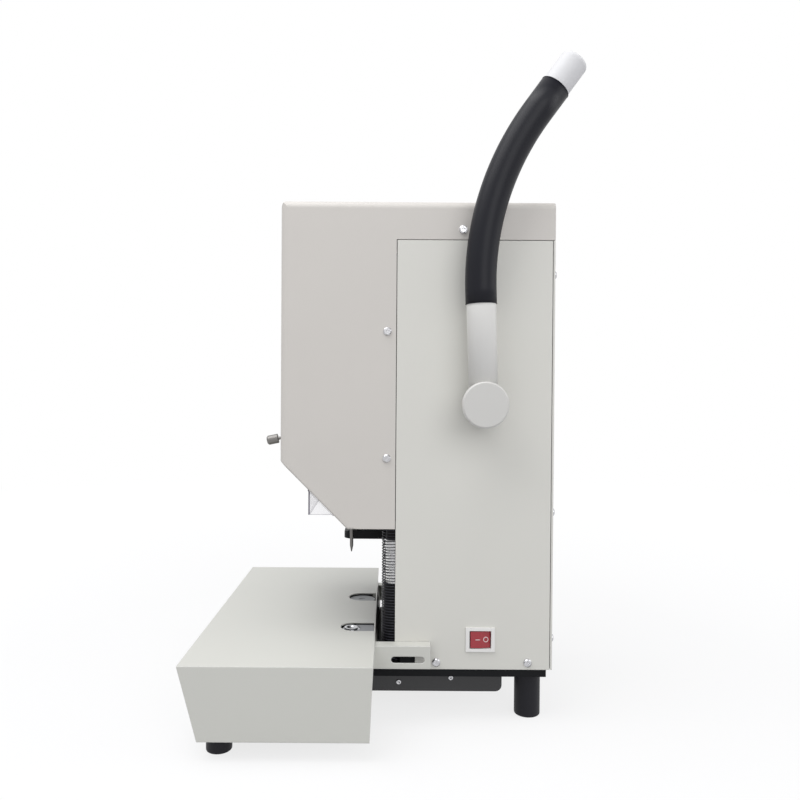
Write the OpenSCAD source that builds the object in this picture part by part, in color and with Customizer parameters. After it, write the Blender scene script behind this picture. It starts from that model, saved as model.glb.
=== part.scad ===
// Document riveting machine: a side lever turns a gear that drives a rack,
// and the rack lowers a carriage with a hollow drill and a hot rivet punch.
// X runs across the machine to the lever's side, +Y to the back, Z = 0 is the desk.

/* [Base] */
// Height of the feet under the base plate
foot_h = 50; // [46:1:70]
// Thickness of the steel base plate
base_t = 8; // [6:0.5:12]
// Radius of a rear foot
rear_foot_r = 14; // [12:0.5:18]
// Radius of a front foot
front_foot_r = 12.75; // [11:0.25:15]
// Depth of the pan under the base plate
pan_h = 25; // [16:1:34]
// Width of the pan
pan_w = 180; // [140:2:190]

/* [Table] */
// Width of the table cover
table_w = 400; // [370:5:460]
// Depth of the table top, front to back
table_d = 187; // [170:1:230]
// Height of the table top over the base plate
table_rise = 33; // [30:1:40]
// Depth of the side skirts
skirt_h = 72; // [50:1:76]
// How far the front skirt leans back over its height
front_lean = 19.5; // [5:0.5:30]
// Thickness of the cover sheet
sheet = 1.5; // [1.2:0.1:2]

/* [Column] */
// Width over the side covers
col_w = 228; // [224:1:240]
// Depth of the column
col_d = 167; // [160:1:190]
// Gap between the table's rear edge and the column's front
throat_gap = 21.3; // [20:0.5:30]
// Height of the side covers
panel_h = 455; // [440:5:520]

/* [Head] */
// Height of the head's top strip over the side covers
roof_h = 41.5; // [30:0.5:60]
// Reach of the head in front of the column
head_reach = 123.5; // [112:0.5:150]
// Clear height between the table and the head
throat_h = 115.7; // [112:0.5:125]
// Size of the chamfer under the head's nose
nose_chamfer = 72; // [60:1:76]
// Radius of the head cover's outer corners
head_r = 8; // [4:0.5:12]

/* [Drive] */
// Tooth module of the gear and the rack
tooth_module = 3; // [2.5:0.5:3]
// Teeth on the gear
gear_teeth = 32; // [30:1:32]
// Width of the gear
gear_w = 18; // [12:1:24]
// Swing of the lever in degrees
lever_swing = 106; // [90:1:106]
// Height of the lever shaft over the base plate
pivot_rise = 282; // [270:1:300]
// Distance of the lever shaft behind the column's front
pivot_back = 88.8; // [84:0.2:95]
// Radius of the lever shaft
shaft_r = 10; // [8:0.5:12]

/* [Lever] */
// Radius of the hub
hub_r = 23.5; // [21:0.5:28]
// Width of the hub
hub_w = 38; // [34:1:44]
// Radius of the lever tube
tube_r = 15; // [13:0.5:16]
// Wall of the lever tube
tube_wall = 2; // [1.5:0.1:3]
// Straight length of the tube from the hub's centre
tube_straight = 117; // [90:1:140]
// Radius of the tube's bend
bend_r = 291; // [250:1:330]
// Angle of the bend
bend_angle = 38; // [25:1:45]
// Forward lean of the tube at rest
tube_lean = 1.9; // [0:0.1:6]
// Straight length beyond the bend, to the tip
tip_length = 66; // [50:1:90]
// Bare length of the tube between the hub and the grip, from the hub's centre
grip_start = 102.5; // [70:0.5:114]
// Length of the end cap
cap_length = 35.3; // [20:0.1:45]
// Wall of the rubber grip
grip_wall = 1; // [0.8:0.1:2]

/* [Carriage] */
// Radius of the guide posts
post_r = 10; // [8:0.5:10.5]
// Distance between the guide posts
post_gap = 172; // [168:1:174]
// Distance of the guide posts behind the column's front
post_back = -0.5; // [-1:0.5:1]
// Distance of the drill and the punch behind the table's rear edge, negative to the front
station_back = -27.2; // [-29:0.2:-26]
// Drill's place across the machine
drill_x = -44; // [-50:1:-40]
// Punch's place across the machine
punch_x = 76; // [72:1:78]
// Radius of the hollow drill bit
bit_r = 3; // [2:0.25:3.5]
// Travel of the press plate on its pins
press_travel = 50; // [40:1:52]
// Thickness of the press plate
press_t = 10; // [8:0.5:12]
// Mean radius of the return springs
spring_r = 13.7; // [13.6:0.05:14]
// Wire radius of the return springs
wire_r = 0.55; // [0.5:0.05:0.7]
// Coils in each return spring
spring_turns = 52; // [20:1:52]

/* [Hidden] */
$fn = 64;

cream = [0.82, 0.82, 0.79];
warm_grey = [0.79, 0.77, 0.75];
black = [0.09, 0.09, 0.10];
steel = [0.70, 0.71, 0.73];

// Clearances
fit = 0.05;        // running fit, on the radius
gap = 0.3;         // between faces that stay apart
seam = 0.7;        // between neighbouring covers
backlash = 0.3;    // of the gear on the rack
hole_gap = 0.4;    // round a screw, on the radius

// Heights
base_top = foot_h + base_t;
table_top = base_top + table_rise;
panel_top = base_top + panel_h;
roof_top = panel_top + roof_h;
head_bottom = table_top + throat_h;

// Places front to back
tip_y = bend_r * (1 - cos(bend_angle)) + tip_length * sin(bend_angle);
tip_z = tube_straight + bend_r * sin(bend_angle) + tip_length * cos(bend_angle);
tip_turn = bend_angle - tube_lean;
cap_edge = 5;                       // rounding of the end cap
// How far the lever reaches behind its shaft, and the origin halfway along the whole depth
tip_back = tip_y * cos(tube_lean) - tip_z * sin(tube_lean) - cap_edge * sin(tip_turn)
    + (tube_r - cap_edge) * cos(tip_turn) + cap_edge;
table_front = -(table_d + throat_gap + pivot_back + tip_back) / 2;
table_rear = table_front + table_d;
col_front = table_rear + throat_gap;
col_rear = col_front + col_d;
head_front = col_front - head_reach;
station_y = table_rear + station_back;
post_y = col_front + post_back;

// Covers
half_w = col_w / 2;
in_w = half_w - sheet;
frame_t = 5;
frame_x = half_w - 10;              // inner face of a side frame
frame_front = post_y + 6;
cover_back = col_rear - sheet;      // inner face of the rear cover
cover_flange = 2;
side_rear = col_rear - cover_flange - seam;   // rear edge of a side cover

// Drive
pitch_r = tooth_module * gear_teeth / 2;
tooth_pitch = PI * tooth_module;
pressure = 20;
stroke = pitch_r * lever_swing * PI / 180;
pivot_y = col_front + pivot_back;
pivot_z = base_top + pivot_rise;
rack_line = pivot_y - pitch_r;
rack_w = gear_w + 2;
rack_depth = 16;                     // from the pitch line to the rack's back

// Carriage, at rest
rise_gap = 0.9;
press_z = table_top + stroke + rise_gap;
press_top = press_z + press_t;
plate_z = press_top + press_travel + 5;
plate_t = 16;
plate_top = plate_z + plate_t;
boss_drop = 30;
boss_rise = 14;
boss_r = 15.5;
sleeve_r = 11.7;
sleeve_h = 86;
sleeve_flange = 4;
boss_bottom = plate_z - boss_drop;
boss_bore = sleeve_r + 0.8;
bush_wall = 2;
bush_z = boss_bottom + 24;
bush_r = post_r + bush_wall;
carriage_half = min(in_w - 11.5, post_gap / 2 + boss_r + 0.5);
pad_drop = 2.8;                      // of the cutting pad under the table top
bit_tip = table_top - pad_drop + stroke + 0.5;
chuck_r = 11;
chuck_h = 30;
chuck_z = press_top + press_travel + 2;
punch_tip = table_top + stroke - 5;
frame_top = base_top + 442;
motor_r = 28;
motor_h = 90;
mount_h = 28;
mount_r = 30;
wall_y = post_y + 16.5;              // front face of the wall behind the posts
neck_w = 44;                         // of the carriage, where it passes that wall
pin_r = 4;
pin_places = [[-58, post_y - 6], [22, post_y - 6]];
block_size = 26;
block_h = 24;
block_front = 9.5;                   // of the heater block in front of the punch

// Feet
front_foot = [table_w / 2 - 26.5, table_front + 35.5];
rear_foot = [half_w - 28, col_rear - 21];

// Screw sizes: head radius, head height, shank radius
m4 = [4.4, 2.6, 2];
m6 = [5, 6, 3];

module along_x(x0, x1) translate([x0, 0, 0]) rotate([90, 0, 90]) linear_extrude(x1 - x0) children();
module along_y(y0, y1) translate([0, y1, 0]) rotate([90, 0, 0]) linear_extrude(y1 - y0) children();
module block(low, high) translate(low) cube(high - low);
module pair() { children(); mirror([1, 0, 0]) children(); }
module tube(outer, inner, h) difference() {
    cylinder(r = outer, h = h);
    translate([0, 0, -1]) cylinder(r = inner, h = h + 2);
}

// Rectangle from low to high whose four corners are round
module round_rect(low, high, r) {
    translate([low.x + r, low.y]) square([high.x - low.x - 2 * r, high.y - low.y]);
    translate([low.x, low.y + r]) square([high.x - low.x, high.y - low.y - 2 * r]);
    for (x = [low.x + r, high.x - r], y = [low.y + r, high.y - r]) translate([x, y]) circle(r);
}

// Slot with round ends along the first axis
module slot2d(length, width) {
    square([length - width, width], center = true);
    for (s = [-1, 1]) translate([s * (length - width) / 2, 0]) circle(d = width);
}

// Pan-head screw: its seat is at z = 0, the head is above and the shank below
module pan_screw(size, length) {
    difference() {
        union() {
            cylinder(r = size[0], h = size[1] * 0.55);
            translate([0, 0, size[1] * 0.55])
                cylinder(r1 = size[0], r2 = size[0] * 0.72, h = size[1] * 0.45);
        }
        for (a = [0, 90]) rotate(a) translate([-size[0] * 0.5, -size[0] * 0.11, size[1] * 0.5])
            cube([size[0], size[0] * 0.22, size[1]]);
    }
    translate([0, 0, -length]) cylinder(r = size[2], h = length);
}

module side_screw(x, y, z, length) translate([x, y, z]) rotate([0, 90, 0]) pan_screw(m4, length);
module side_hole(y, z, r) translate([-half_w - 20, y, z]) rotate([0, 90, 0])
    cylinder(r = r, h = col_w + 40);

// Places of the screws, as [y, z] on the side covers
roof_screw = [col_front + 69.5, panel_top + 11.5];
head_screws = [[col_front - 10, base_top + 358.5], [col_front - 10, base_top + 224], roof_screw];
foot_y = [col_front + 44, col_rear - 26];
panel_screw_z = base_top + 7.5;
rear_screw_z = [base_top + 32, base_top + 167, base_top + 420];
frame_screw_y = [frame_front + 20, col_front + 60, col_rear - 40];

// Switch and inlet
switch_y = col_front + 90.6;
switch_z = base_top + 32;
switch_out = [31, 25.5];
switch_in = [27.5, 21.5];
inlet_x = 55;
inlet_z = base_top + 34;

// ---------------------------------------------------------------- base

module base_outline() {
    front_w = table_w / 2 - sheet - 8;
    rear_w = half_w - 1;
    polygon([[-front_w, table_front + 22], [front_w, table_front + 22], [front_w, table_rear - 8],
        [rear_w, table_rear - 8], [rear_w, col_rear - 6], [-rear_w, col_rear - 6],
        [-rear_w, table_rear - 8], [-front_w, table_rear - 8]]);
}

module base_plate() color(black) difference() {
    translate([0, 0, foot_h]) linear_extrude(base_t) base_outline();
    for (f = [front_foot, rear_foot], s = [-1, 1])
        translate([s * f.x, f.y, foot_h - 1]) cylinder(r = m6[2] + fit, h = base_t + 2);
    for (y = frame_screw_y, s = [-1, 1])
        translate([s * (frame_x - 4), y, foot_h - 1]) cylinder(r = m4[2] + fit, h = base_t + 2);
}

module bottom_pan() color(black) {
    y0 = table_front + 100;
    y1 = col_rear - 49.5;
    r = 7;
    wall = 1.5;
    difference() {
        along_x(-pan_w / 2, pan_w / 2) union() {
            round_rect([y0, foot_h - pan_h], [y1, foot_h - 1], r);
            translate([y0, foot_h - pan_h + r]) square([y1 - y0, pan_h - r]);
        }
        along_x(-pan_w / 2 + wall, pan_w / 2 - wall) union() {
            round_rect([y0 + wall, foot_h - pan_h + wall], [y1 - wall, foot_h - 1], r - wall);
            translate([y0 + wall, foot_h - pan_h + r]) square([y1 - y0 - 2 * wall, pan_h]);
        }
        // clear of the heads of the frame's screws
        pair() for (y = frame_screw_y) translate([frame_x - 4, y, foot_h - m4[1] - gap])
            cylinder(r = m4[0] + gap, h = m4[1] + 2 * gap);
    }
}

module foot(r, h) difference() {
    edge = 2;
    rotate_extrude() polygon(concat([[0, 0], [r - edge, 0]],
        [for (a = [0:15:90]) [r - edge + edge * sin(a), edge - edge * cos(a)]],
        [[r, h], [0, h]]));
    translate([0, 0, -1]) cylinder(r = m6[0] + 0.8, h = h - 9);
    cylinder(r = m6[2] + hole_gap, h = h + 1);
}
module front_feet() color(black) pair() translate([front_foot.x, front_foot.y, 0])
    foot(front_foot_r, foot_h);
module rear_feet() color(black) pair() translate([rear_foot.x, rear_foot.y, 0])
    foot(rear_foot_r, foot_h);
module foot_screws() color(steel) for (f = [front_foot, rear_foot]) pair()
    translate([f.x, f.y, foot_h - 10]) rotate([180, 0, 0]) pan_screw(m6, base_t + 8);

// ---------------------------------------------------------------- frame

module side_frame() {
    tall_front = post_y - 16;
    low_top = head_bottom + 8;
    difference() {
        union() {
            along_x(frame_x, frame_x + frame_t) polygon([[frame_front, base_top],
                [frame_front, low_top], [tall_front, low_top], [tall_front, frame_top],
                [col_rear - 10, frame_top], [col_rear - 10, base_top]]);
            block([frame_x - 8, post_y + boss_r + 3, base_top], [frame_x, col_rear - 10, base_top + 12]);
            // bosses that the covers are screwed to
            for (p = head_screws) if (p != roof_screw) translate([frame_x + frame_t, p.x, p.y])
                rotate([0, 90, 0]) cylinder(r = 5, h = in_w - frame_x - frame_t);
            for (y = foot_y) translate([frame_x + frame_t, y, panel_screw_z])
                rotate([0, 90, 0]) cylinder(r = 5, h = in_w - frame_x - frame_t);
            // tab that holds the roof strip
            block([frame_x, roof_screw.x - 10, frame_top - 1],
                [frame_x + frame_t, roof_screw.x + 10, roof_screw.y + 8]);
            translate([frame_x, roof_screw.x, roof_screw.y]) rotate([0, 90, 0])
                cylinder(r = 5, h = in_w - frame_x);
        }
        translate([0, pivot_y, pivot_z]) rotate([0, 90, 0]) cylinder(r = shaft_r + 4, h = col_w);
        // windows that lighten the plate and clear the switch
        block([frame_x - 1, switch_y - 20, switch_z - 15], [half_w, switch_y + 20, switch_z + 17]);
        block([frame_x - 1, col_front + 50, base_top + 90], [half_w, col_rear - 40, base_top + 210]);
        for (p = head_screws) side_hole(p.x, p.y, m4[2] + fit);
        for (y = foot_y) side_hole(y, panel_screw_z, m4[2] + fit);
        side_hole(table_screw.x, table_screw.y, m4[2] + fit);
        for (y = frame_screw_y) translate([frame_x - 4, y, base_top - 1])
            cylinder(r = m4[2] + fit, h = 10);
        for (y = [post_y + 20, col_rear - 30]) translate([frame_x, y, frame_top - 5])
            rotate([0, 90, 0]) cylinder(r = m4[2] + hole_gap, h = 20);
    }
}
module side_frame_right() color(black) side_frame();
module side_frame_left() color(black) mirror([1, 0, 0]) side_frame();

module frame_screws() color(steel) pair() {
    for (y = frame_screw_y) translate([frame_x - 4, y, foot_h]) rotate([180, 0, 0])
        pan_screw(m4, base_t + 7);
    for (y = [post_y + 20, col_rear - 30])
        side_screw(frame_x + frame_t, y, frame_top - 5, frame_t + 9);
}

module top_plate() color(black) difference() {
    block([-frame_x, post_y - 16, frame_top - 10], [frame_x, col_rear - 10, frame_top]);
    pair() translate([post_gap / 2, post_y, frame_top - 11]) cylinder(r = post_r + fit, h = 12);
    pair() for (y = [post_y + 20, col_rear - 30]) translate([frame_x - 12, y, frame_top - 5])
        rotate([0, 90, 0]) cylinder(r = m4[2] + fit, h = 20);
    block([-40, post_y + 40, frame_top - 11], [40, col_rear - 30, frame_top + 1]);
}

// wall behind the posts, open in the middle for the carriage's neck
module throat_wall() color(black) difference() {
    block([-frame_x, wall_y, base_top], [frame_x, wall_y + sheet, head_bottom + 8]);
    block([-neck_w / 2 - 3, wall_y - 1, plate_z - stroke - 4],
        [neck_w / 2 + 3, wall_y + 3, head_bottom + 9]);
}

module guide_posts() color(steel) pair() translate([post_gap / 2, post_y, base_top])
    cylinder(r = post_r, h = frame_top - base_top);

module post_sleeves() color(black) pair() translate([post_gap / 2, post_y, base_top]) difference() {
    union() {
        cylinder(r = sleeve_r, h = sleeve_h);
        cylinder(r = boss_r, h = sleeve_flange);
    }
    translate([0, 0, -1]) cylinder(r = post_r + fit, h = sleeve_h + 2);
}

// ---------------------------------------------------------------- springs

// Points along a helix from z0 to z1, each [angle, height]; the ends stand straight
function helix(z0, z1, turns, rings, lead) = [for (i = [0 : turns * rings])
    [360 * i / rings, z0 + lead + (z1 - z0 - 2 * lead) * i / (turns * rings)]];
function on_helix(r, p) = [r * cos(p[0]), r * sin(p[0]), p[1]];

module spring_tube(r, wire, z0, z1, turns, rings = 8, sides = 6) {
    path = concat([[0, z0]], helix(z0, z1, turns, rings, 2 * wire), [[360 * turns, z1]]);
    last = len(path) - 1;
    rise = (z1 - z0) / turns / 360;
    slope = atan(rise * 180 / PI / r);
    // tilt of the tube's run from level: upright at the ends, the helix's slope between
    tilt = [for (i = [0 : last]) i == 0 || i == last ? 90 : i == 1 || i == last - 1 ? 45 : slope];
    points = [for (i = [0 : last], k = [0 : sides - 1])
        let (a = path[i][0], u = 360 * k / sides, out = wire * cos(u), up = wire * sin(u),
             c = on_helix(r, path[i]))
        c + [out * cos(a) + up * sin(tilt[i]) * sin(a), out * sin(a) - up * sin(tilt[i]) * cos(a),
             up * cos(tilt[i])]];
    faces = concat(
        [for (i = [0 : last - 1], k = [0 : sides - 1])
            let (a = i * sides + k, b = i * sides + (k + 1) % sides) [a, a + sides, b]],
        [for (i = [0 : last - 1], k = [0 : sides - 1])
            let (a = i * sides + k, b = i * sides + (k + 1) % sides) [b, a + sides, b + sides]],
        [for (k = [1 : sides - 2]) [0, k, k + 1]],
        [for (k = [1 : sides - 2]) [last * sides, last * sides + k + 1, last * sides + k]]);
    polyhedron(points, faces);
    least = min([for (i = [1 : last - rings - 1], j = [rings - 1 : rings + 1]) if (i + j < last)
        norm(on_helix(r, path[i + j]) - on_helix(r, path[i]))]) - 2 * wire;
    echo(str("spring of ", turns, " coils: least gap to itself ", least, " mm"));
}

spring_z = base_top + sleeve_flange;
module return_spring(side) color([0.35, 0.36, 0.38]) translate([side * post_gap / 2, post_y, 0])
    spring_tube(spring_r, wire_r, spring_z, boss_bottom, spring_turns);
module return_spring_right() return_spring(1);
module return_spring_left() return_spring(-1);

module press_springs() color(steel) for (p = pin_places) translate([p.x, p.y, 0])
    spring_tube(pin_r + 2, 0.6, press_top, plate_z, 6);

// ---------------------------------------------------------------- table

table_screw = [col_front + 26, base_top + 23.3];
ear_x = half_w + 15;
apron_back = 3.5;
ear_low = base_top + 5.5;
ear_high = base_top + 29.3;
ear_rear = col_front + 37;
ear_slot = [col_front + 13.5, base_top + 15, 35, 7];

module table_side() polygon([[table_front, table_top], [table_rear, table_top],
    [table_rear - 3, table_top - skirt_h], [table_front + front_lean, table_top - skirt_h]]);

pad_r = 16.2;

// openings with a round front end that run back to the rear edge, which the apron closes:
// [x, radius, distance of the front end from the rear edge]
punch_opening = [punch_x, 15.5, 38.5];
drill_opening = [drill_x, pad_r + 1.3, pad_r + 19.3];
module station_openings() for (o = [punch_opening, drill_opening])
    translate([o.x, table_rear - o.z + o.y, table_top - 5]) {
        cylinder(r = o.y, h = 10);
        translate([-o.y, 0, 0]) cube([2 * o.y, o.z, 10]);
    }

module table_cover() color(cream) {
    run = [front_lean, -skirt_h] / norm([front_lean, skirt_h]);
    difference() {
        along_x(-table_w / 2, table_w / 2) table_side();
        // inside, open at the bottom
        along_x(-table_w / 2 + sheet, table_w / 2 - sheet) polygon([
            [table_front + sheet / -run.y + sheet * front_lean / skirt_h, table_top - sheet],
            [table_rear - sheet, table_top - sheet],
            [table_rear - sheet - 3, table_top - skirt_h - 1],
            [table_front + front_lean + sheet / -run.y, table_top - skirt_h - 1]]);
        // the rear skirt ends above the base plate
        block([-table_w / 2 + sheet, table_rear - 10, table_top - skirt_h - 1],
            [table_w / 2 - sheet, table_rear + 1, ear_low]);
        // between the ears the rear skirt leans back instead of forward
        block([sheet - ear_x, table_rear - 6, ear_low - 1], [ear_x - sheet, table_rear + 1, table_top - sheet]);
        station_openings();
    }
    along_x(-ear_x, ear_x) polygon([[table_rear - sheet, table_top], [table_rear, table_top],
        [table_rear + apron_back, ear_low], [table_rear + apron_back - sheet, ear_low]]);
    // ears that run back beside the column, each under a short shelf
    pair() difference() {
        union() {
            block([ear_x - sheet, table_rear - sheet, ear_low], [ear_x, ear_rear, ear_high]);
            block([half_w + gap, table_rear - sheet, ear_high - sheet], [ear_x, ear_rear, ear_high]);
        }
        along_x(ear_x - 5, ear_x + 5) translate([ear_slot.x, ear_slot.y])
            slot2d(ear_slot[2], ear_slot[3]);
    }
}

// spacer between the column and the ear, and the screw that goes into it from inside the frame
module table_screws() color(steel) pair() translate([0, table_screw.x, table_screw.y]) {
    translate([half_w, 0, 0]) rotate([0, 90, 0]) tube(4, m4[2], ear_x - sheet - half_w);
    translate([frame_x, 0, 0]) rotate([0, -90, 0]) pan_screw(m4, 20);
}

module die_insulator() color([0.88, 0.86, 0.78]) difference() {
    translate([punch_x - 15, station_y - 15, base_top]) cube([30, 30, 8]);
    translate([punch_x, station_y, base_top - 1]) cylinder(r = 3.5, h = 10);
}
module die_block() color([0.75, 0.66, 0.42]) difference() {
    translate([punch_x - 15, station_y - 15, base_top + 8]) cube([30, 30, 15]);
    translate([punch_x, station_y, base_top]) cylinder(r = 2.6, h = 30);
    translate([punch_x + 8.5, station_y - 16, base_top + 15.5]) rotate([-90, 0, 0])
        cylinder(r = 3.1, h = 28);
}
die_r = 10;
die_h = table_rise - 23 - 0.5;
module rivet_die() color(steel) translate([punch_x, station_y, base_top + 23]) difference() {
    union() {
        cylinder(r = die_r, h = die_h - 2);
        cylinder(r = die_r - 2.5, h = die_h);
    }
    translate([0, 0, -1]) cylinder(r = 2.6, h = die_h + 2);
    translate([0, 0, die_h - 1.5]) cylinder(r1 = 3.5, r2 = 5.5, h = 2);
}
clamp_z = table_top - sheet - gap;
module die_clamp() color([0.6, 0.6, 0.6]) difference() {
    union() {
        block([punch_x - 12, station_y + 5, clamp_z - 2], [punch_x + 12, table_rear - 2, clamp_z]);
        block([punch_x - 12, table_rear - 10, base_top], [punch_x + 12, table_rear - 8, clamp_z - 1]);
    }
    translate([punch_x, station_y, base_top + 20]) cylinder(r = die_r + gap, h = 20);
}
pad_y = table_rear - 19;
module pad_holder() color(black) translate([drill_x, pad_y, base_top]) difference() {
    cylinder(r = pad_r + 1, h = 30.5);
    translate([0, 0, 20]) cylinder(r = pad_r + gap, h = 20);
}
module cutting_pad() color([0.55, 0.56, 0.57]) translate([drill_x, pad_y, base_top + 20])
    difference() {
        translate([0, 0, fit]) cylinder(r = pad_r, h = table_rise - 20 - pad_drop);
        translate([0, 0, table_rise - 20 - pad_drop - 0.5]) cylinder(r = 4, h = 3);
    }

// ---------------------------------------------------------------- covers

// Head cover seen from the side: corner coordinates as [y, z], set in by inset
module head_profile(inset) {
    slope_in = inset * (sqrt(2) - 1);
    polygon([[head_front + inset, head_bottom + nose_chamfer + slope_in],
        [head_front + inset, roof_top - inset], [col_rear - inset, roof_top - inset],
        [col_rear - inset, panel_top + seam], [col_front - seam, panel_top + seam],
        [col_front - seam, head_bottom], [head_front + nose_chamfer + inset * sqrt(2), head_bottom]]);
}

// Block over the head whose top edges and front corners are round
module head_envelope(inset) {
    r = head_r - inset;
    w = half_w - inset;
    intersection() {
        along_y(head_front + inset, col_rear + 1) union() {
            translate([-w, 0]) square([2 * w, roof_top - inset - r]);
            translate([-w + r, 0]) square([2 * (w - r), roof_top - inset]);
            for (s = [-1, 1]) translate([s * (w - r), roof_top - inset - r]) circle(r);
        }
        linear_extrude(roof_top + 1) union() {
            translate([-w, head_front + inset + r]) square([2 * w, col_rear - head_front + 20]);
            translate([-w + r, head_front + inset])
                square([2 * (w - r), col_rear - head_front + 20]);
            for (s = [-1, 1]) translate([s * (w - r), head_front + inset + r]) circle(r);
        }
        along_x(-w, w) difference() {
            head_profile(inset);
            // round corner between the front and the top
            translate([head_front + inset, roof_top - inset - r]) difference() {
                translate([-1, 0]) square([r + 1, r + 1]);
                translate([r, 0]) circle(r);
            }
        }
    }
}

guard_half = carriage_half + 1.7;
guard_front = head_front + 29.5;
guard_low = head_bottom + 13;
switch_lever = [70, base_top + 243];

module head_cover() color(warm_grey) difference() {
    head_envelope(0);
    head_envelope(sheet);
    // open bottom and open back towards the column
    block([-in_w, head_front + nose_chamfer + sheet, head_bottom - 1],
        [in_w, col_front + 1, head_bottom + 4]);
    block([-in_w, col_front - 4, head_bottom - 1], [in_w, col_front + 1, panel_top + 5]);
    block([-in_w, col_front - 4, panel_top - 1], [in_w, col_rear - sheet, panel_top + 4]);
    // opening in the slope for the tools
    block([-guard_half, guard_front, head_bottom - 1],
        [guard_half, col_front - 4, head_bottom + nose_chamfer - 29.5]);
    for (p = head_screws) side_hole(p.x, p.y, m4[2] + hole_gap);
    translate([switch_lever.x, head_front - 1, switch_lever.y]) rotate([-90, 0, 0])
        cylinder(r = 4 + fit, h = 5);
}

module head_cover_screws() color(steel) for (p = head_screws) pair()
    side_screw(half_w, p.x, p.y, p == roof_screw ? 7 : 9);

module clear_guard() color([0.85, 0.87, 0.95, 0.35]) {
    wall = 2;
    // front sheet and two cheeks, cut back to the head's slope
    difference() {
        block([-guard_half, guard_front, guard_low], [guard_half, head_front + nose_chamfer, roof_top]);
        block([-guard_half + wall, guard_front + wall, guard_low - 1],
            [guard_half - wall, col_front, roof_top + 1]);
        along_x(-half_w, half_w) polygon([
            [head_front, head_bottom + nose_chamfer], [head_front + nose_chamfer, head_bottom],
            [head_front + nose_chamfer + 60, head_bottom], [head_front + nose_chamfer + 60, roof_top + 2],
            [head_front, roof_top + 2]]);
    }
    // lips on the slope, outside the opening
    pair() difference() {
        block([guard_half, guard_front, guard_low], [guard_half + 6, head_front + nose_chamfer, head_bottom + nose_chamfer]);
        along_x(-half_w, half_w) polygon([
            [head_front, head_bottom + nose_chamfer], [head_front + nose_chamfer, head_bottom],
            [head_front + nose_chamfer + 60, head_bottom], [head_front + nose_chamfer + 60, roof_top + 2],
            [head_front, roof_top + 2]]);
        along_x(-half_w, half_w) polygon([
            [head_front, head_bottom + nose_chamfer - 3], [head_front + nose_chamfer, head_bottom - 3],
            [head_front, head_bottom - 3]]);
    }
}

module side_cover(side) {
    notch = [col_front + 21.5, base_top + 27];
    difference() {
        union() {
            block([in_w, col_front, base_top], [half_w, side_rear, panel_top]);
            block([in_w - 10, col_front, base_top], [half_w, col_front + sheet, head_bottom + 7]);
            block([in_w - 3, col_front, panel_top - sheet], [half_w, side_rear, panel_top]);
        }
        block([in_w - 20, col_front - 1, base_top - 1], [half_w + 1, notch.x, notch.y]);
        for (y = foot_y) side_hole(y, panel_screw_z, m4[2] + hole_gap);
        side_hole(table_screw.x, table_screw.y, m4[2] + hole_gap);
        if (side > 0) {
            translate([0, pivot_y, pivot_z]) rotate([0, 90, 0]) cylinder(r = shaft_r + 2, h = col_w);
            along_x(in_w - 1, half_w + 1) translate([switch_y, switch_z])
                square(switch_in + 2 * [fit, fit], center = true);
        }
    }
}
module right_side_cover() color(cream) side_cover(1);
module left_side_cover() color(cream) mirror([1, 0, 0]) side_cover(-1);
module side_cover_screws() color(steel) pair() for (y = foot_y)
    side_screw(half_w, y, panel_screw_z, 9);

module rear_cover() color(cream) difference() {
    union() {
        block([-half_w, cover_back, base_top], [half_w, col_rear, panel_top]);
        pair() block([in_w, col_rear - cover_flange, base_top], [half_w, col_rear, panel_top]);
    }
    // rows of cooling slots
    for (row = [0 : 6], s = [-1, 1]) translate([s * 45, 0, panel_top - 60 - 12 * row])
        along_y(cover_back - 1, col_rear + 1) slot2d(60, 4);
    translate([inlet_x, 0, inlet_z]) along_y(cover_back - 1, col_rear + 1)
        square([27.2, 20.2], center = true);
    for (z = rear_screw_z, s = [-1, 1]) translate([s * (half_w - 8), col_rear + 1, z])
        rotate([90, 0, 0]) cylinder(r = m4[2] + hole_gap, h = 5);
}
// screws through the rear cover, each with the clip nut that holds it to the frame's edge
module rear_cover_screws() color(steel) for (z = rear_screw_z) pair()
    translate([half_w - 8, col_rear, z]) rotate([-90, 0, 0]) {
        pan_screw(m4, 10);
        translate([0, 0, -10]) tube(3.5, m4[2], 10 - sheet);
    }

// ---------------------------------------------------------------- electrics

module switch_housing() color([0.93, 0.92, 0.91]) difference() {
    union() {
        along_x(half_w, half_w + 2) translate([switch_y, switch_z]) square(switch_out, center = true);
        along_x(half_w - 18, half_w + 1) translate([switch_y, switch_z])
            square(switch_in, center = true);
    }
    along_x(half_w - 11, half_w + 3) translate([switch_y, switch_z]) square([23, 19], center = true);
}

// rocker with two sloped faces, turned so that its off half is pressed in
rocker_tilt = 7;
module power_rocker() color([0.62, 0.12, 0.15]) translate([half_w - 2, switch_y, switch_z])
    rotate(rocker_tilt) along_z_mid(17.6) polygon([[-3, -10], [2.2, -10.8], [3.4, 0], [2.2, 10.8], [-3, 10]]);
module along_z_mid(h) translate([0, 0, -h / 2]) linear_extrude(h) children();

module power_inlet() color(black) {
    difference() {
        union() {
            translate([inlet_x, 0, inlet_z]) along_y(col_rear, col_rear + 2) square([31, 24], center = true);
            translate([inlet_x, 0, inlet_z]) along_y(col_rear - 22, col_rear + 1)
                square([27, 20], center = true);
        }
        translate([inlet_x, 0, inlet_z]) along_y(col_rear - 16, col_rear + 3)
            square([24, 17], center = true);
    }
    for (p = [[-7, -2], [0, 2], [7, -2]]) translate([inlet_x + p.x, 0, inlet_z + p.y])
        along_y(col_rear - 17, col_rear - 6) square([2, 4], center = true);
}

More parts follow.
